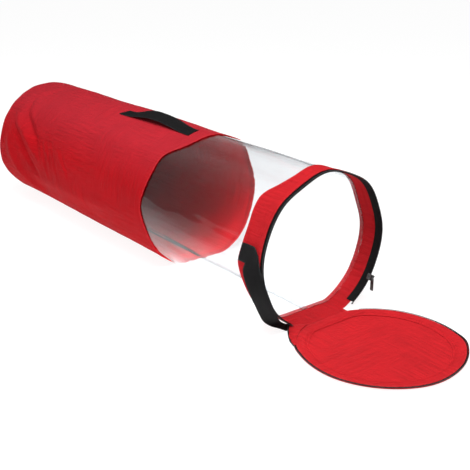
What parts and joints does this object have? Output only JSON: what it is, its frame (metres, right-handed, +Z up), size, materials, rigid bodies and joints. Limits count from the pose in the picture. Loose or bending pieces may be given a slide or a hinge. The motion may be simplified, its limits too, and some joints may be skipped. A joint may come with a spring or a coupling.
{
  "type": "gift wrap organizer",
  "caption": "Round fabric storage bag for paper rolls, lying on its side, with a clear window, webbing handles and a zipped round lid hinged at the bottom of its mouth.",
  "frame": {"origin": "middle of the bag's flat underside, halfway along the bag's length", "axes": "+X along the bag's axis towards the mouth, +Z up, with the bag lying on its side on the floor"},
  "size_m": [1.3801, 0.3069, 0.3049],
  "materials": {
    "red_fabric": "matt woven polyester",
    "clear_sheet": "clear soft vinyl, glossy",
    "black_tape": "matt woven tape",
    "black_teeth": "satin moulded coil",
    "black_webbing": "ribbed polypropylene webbing",
    "black_metal": "black painted die cast"
  },
  "bodies": {
    "bag": {"rear_sleeve": "red_fabric", "rear_end_panel": "red_fabric", "rear_seam_binding": "black_tape", "sleeve_seam_binding": "black_tape", "window_panel": "clear_sheet", "window_seam_strip": "clear_sheet", "mouth_band": "red_fabric", "mouth_zip_tape": "black_tape", "mouth_zip_teeth": "black_teeth", "zip_stop_near": "black_metal", "zip_stop_far": "black_metal", "hinge_flap": "red_fabric", "top_handle_rear_end": "black_webbing", "top_handle_front_end": "black_webbing", "grab_handle_upper_end": "black_webbing", "grab_handle_lower_end": "black_webbing"},
    "lid": {"lid_panel": "red_fabric", "lid_facing": "red_fabric", "lid_seam_welt": "red_fabric", "lid_zip_tape": "black_tape", "lid_zip_teeth": "black_teeth"},
    "zip_slider": {"zip_slider": "black_metal", "slider_crown": "black_metal"},
    "zip_pull": {"zip_pull": "black_metal"},
    "top_handle": {"top_handle_strap": "black_webbing"},
    "grab_handle": {"grab_handle_strap": "black_webbing"}
  },
  "joints": [
    {"name": "lid_hinge", "type": "hinge", "parent": "bag", "child": "lid", "pos_m": [0.5521, 0, 0.0006], "axis": [0, -1, 0], "range_deg": [0, 90]},
    {"name": "zip_run", "type": "hinge", "parent": "bag", "child": "zip_slider", "pos_m": [0.5464, 0, 0.138], "axis": [1, 0, 0], "range_deg": [-10, 265]},
    {"name": "pull_swivel", "type": "hinge", "parent": "zip_slider", "child": "zip_pull", "pos_m": [0.5476, 0.12664, 0.04933], "axis": [1, 0, 0], "range_deg": [-32, 142]},
    {"name": "top_handle_swing", "type": "hinge", "parent": "bag", "child": "top_handle", "pos_m": [0, -0.02181, 0.29318], "axis": [1, 0, 0], "range_deg": [-18, 18], "stiffness_Nm_per_rad": 0.05},
    {"name": "grab_handle_swing", "type": "hinge", "parent": "bag", "child": "grab_handle", "pos_m": [0.521, -0.13562, 0.06679], "axis": [0, 0.4649, -0.8854], "range_deg": [-15, 15], "stiffness_Nm_per_rad": 0.05}
  ]
}
